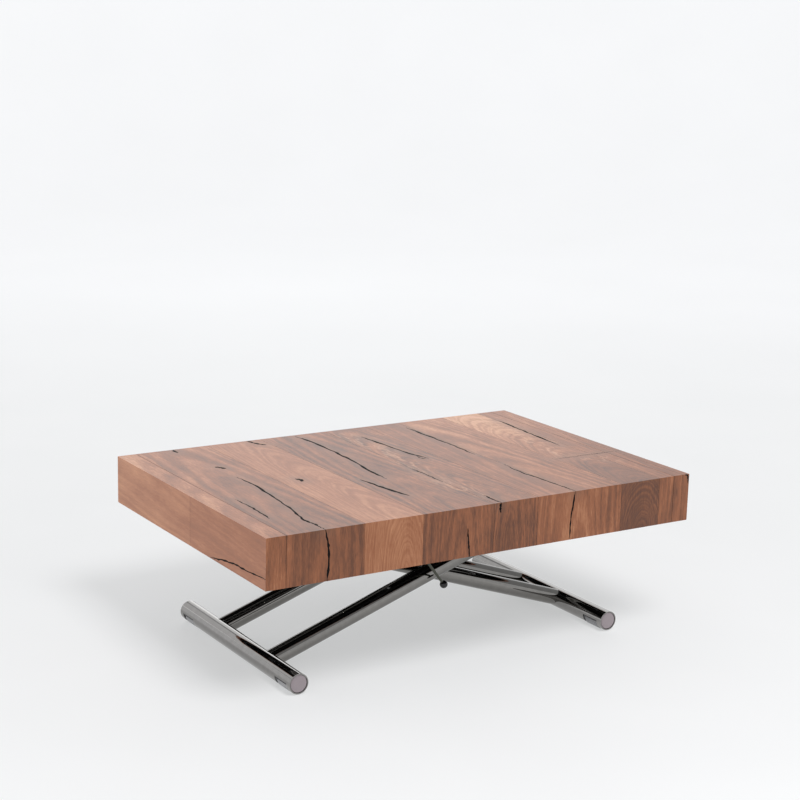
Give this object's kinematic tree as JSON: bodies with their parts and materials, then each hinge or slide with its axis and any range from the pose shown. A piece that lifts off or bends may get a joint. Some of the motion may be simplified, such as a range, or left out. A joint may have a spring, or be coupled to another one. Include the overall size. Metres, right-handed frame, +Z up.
{
  "type": "convertible coffee dining table",
  "caption": "Low plank-faced block table on a rolling scissor of round tubes that lifts to dining height, with end sections that draw out extension leaves.",
  "frame": {"origin": "on the floor under the middle of the table top, at coffee-table height", "axes": "+X along the long side, -Y towards the side with the lever, +Z up"},
  "size_m": [1.2, 0.8, 0.426],
  "materials": {
    "plank_oak": "satin lacquer over brushed aged planks",
    "leaf_oak": "satin lacquer over veneer",
    "pale_softwood": "planed",
    "black_chrome": "polished dark plating",
    "plug_grey": "satin",
    "roller_nylon": "turned",
    "bright_steel": "ground",
    "frame_black": "powder coat",
    "zinc_steel": "zinc plated",
    "hard_chrome": "polished",
    "lever_steel": "dark oxide",
    "knob_black": "polished"
  },
  "bodies": {
    "left_rollers": {"left_rollers": "roller_nylon"},
    "left_legs": {"left_foot_tube": "black_chrome", "left_foot_plugs": "plug_grey", "left_roller_axles": "bright_steel", "left_roller_webs": "roller_nylon", "left_leg_front": "black_chrome", "left_leg_back": "black_chrome", "left_leg_plugs": "plug_grey", "crossing_shaft": "bright_steel", "crossing_washers": "roller_nylon", "upper_pivot_bushes": "roller_nylon"},
    "right_legs": {"right_foot_tube": "black_chrome", "right_foot_plugs": "plug_grey", "right_roller_axles": "bright_steel", "right_roller_webs": "roller_nylon", "right_leg_front": "black_chrome", "right_leg_back": "black_chrome", "right_leg_plugs": "plug_grey", "crossing_bushes": "roller_nylon", "track_axle": "bright_steel"},
    "right_front_roller": {"right_roller_front": "roller_nylon"},
    "right_back_roller": {"right_roller_back": "roller_nylon"},
    "front_track_roller": {"track_roller_front": "roller_nylon"},
    "back_track_roller": {"track_roller_back": "roller_nylon"},
    "top": {"top_panel": "plank_oak", "front_apron": "plank_oak", "back_apron": "plank_oak", "panel_bearers": "pale_softwood", "track_rail_front": "frame_black", "track_rail_back": "frame_black", "frame_ties": "frame_black", "frame_crosses": "frame_black", "apron_brackets": "frame_black", "bracket_screws": "bright_steel", "pivot_shaft": "bright_steel", "pivot_nuts": "bright_steel", "gas_cylinder": "frame_black", "gas_clamps": "frame_black", "lever_brackets": "frame_black", "slide_outers": "zinc_steel"},
    "gas_rod": {"gas_rod": "hard_chrome", "gas_rod_eye": "zinc_steel"},
    "lever": {"lever_shaft": "zinc_steel", "lever_rod": "lever_steel", "lever_knob": "knob_black"},
    "release_link": {"release_link": "zinc_steel"},
    "left_end": {"left_end_strip": "plank_oak", "left_end_apron": "plank_oak", "left_end_cheeks": "plank_oak", "left_leaf": "leaf_oak", "left_leaf_bearers": "frame_black", "left_slide_inners": "zinc_steel"},
    "left_slide": {"left_slide_middles": "zinc_steel"},
    "right_end": {"right_end_strip": "plank_oak", "right_end_apron": "plank_oak", "right_end_cheeks": "plank_oak", "right_leaf": "leaf_oak", "right_leaf_bearers": "frame_black", "right_slide_inners": "zinc_steel"},
    "right_slide": {"right_slide_middles": "zinc_steel"}
  },
  "joints": [
    {"name": "lift", "type": "hinge", "parent": "left_rollers", "child": "left_legs", "pos_m": [-0.453, 0, 0.02], "axis": [0, -1, 0], "range_deg": [-7, 24]},
    {"name": "top_level", "type": "hinge", "parent": "left_legs", "child": "top", "pos_m": [0.453, 0, 0.33296], "axis": [0, -1, 0], "range_deg": [-24, 7]},
    {"name": "crossing", "type": "hinge", "parent": "left_legs", "child": "right_legs", "pos_m": [0, 0, 0.17998], "axis": [0, -1, 0], "range_deg": [-48, 14]},
    {"name": "gas_rod_turn", "type": "hinge", "parent": "right_legs", "child": "gas_rod", "pos_m": [-0.453, 0, 0.33296], "axis": [0, -1, 0], "range_deg": [-7, 24]},
    {"name": "right_front_roll", "type": "hinge", "parent": "right_legs", "child": "right_front_roller", "pos_m": [0.453, -0.246, 0.02], "axis": [0, -1, 0], "continuous": true},
    {"name": "right_back_roll", "type": "hinge", "parent": "right_legs", "child": "right_back_roller", "pos_m": [0.453, 0.246, 0.02], "axis": [0, -1, 0], "continuous": true},
    {"name": "front_track_roll", "type": "hinge", "parent": "right_legs", "child": "front_track_roller", "pos_m": [-0.453, -0.211, 0.33296], "axis": [0, -1, 0], "continuous": true},
    {"name": "back_track_roll", "type": "hinge", "parent": "right_legs", "child": "back_track_roller", "pos_m": [-0.453, 0.211, 0.33296], "axis": [0, -1, 0], "continuous": true},
    {"name": "release_lever", "type": "hinge", "parent": "top", "child": "lever", "pos_m": [-0.109, 0, 0.32196], "axis": [0, -1, 0], "range_deg": [0, 18], "stiffness_Nm_per_rad": 1.5, "springref_deg": -8.59},
    {"name": "release_draw", "type": "slide", "parent": "top", "child": "release_link", "axis": [-1, 0, 0], "range_m": [0, 0.00475]},
    {"name": "left_extend", "type": "slide", "parent": "top", "child": "left_end", "axis": [-1, 0, 0], "range_m": [0, 0.4]},
    {"name": "left_slide_run", "type": "slide", "parent": "top", "child": "left_slide", "axis": [-1, 0, 0], "range_m": [0, 0.2]},
    {"name": "right_extend", "type": "slide", "parent": "top", "child": "right_end", "axis": [1, 0, 0], "range_m": [0, 0.4]},
    {"name": "right_slide_run", "type": "slide", "parent": "top", "child": "right_slide", "axis": [1, 0, 0], "range_m": [0, 0.2]}
  ],
  "couplings": [
    {"joint": "top_level", "follows": "lift", "ratio": -1},
    {"joint": "crossing", "follows": "lift", "ratio": -2},
    {"joint": "gas_rod_turn", "follows": "lift", "ratio": 1},
    {"joint": "release_draw", "follows": "release_lever", "m_per_rad": 0.015},
    {"joint": "left_slide_run", "follows": "left_extend", "ratio": 0.5},
    {"joint": "right_slide_run", "follows": "right_extend", "ratio": 0.5}
  ]
}
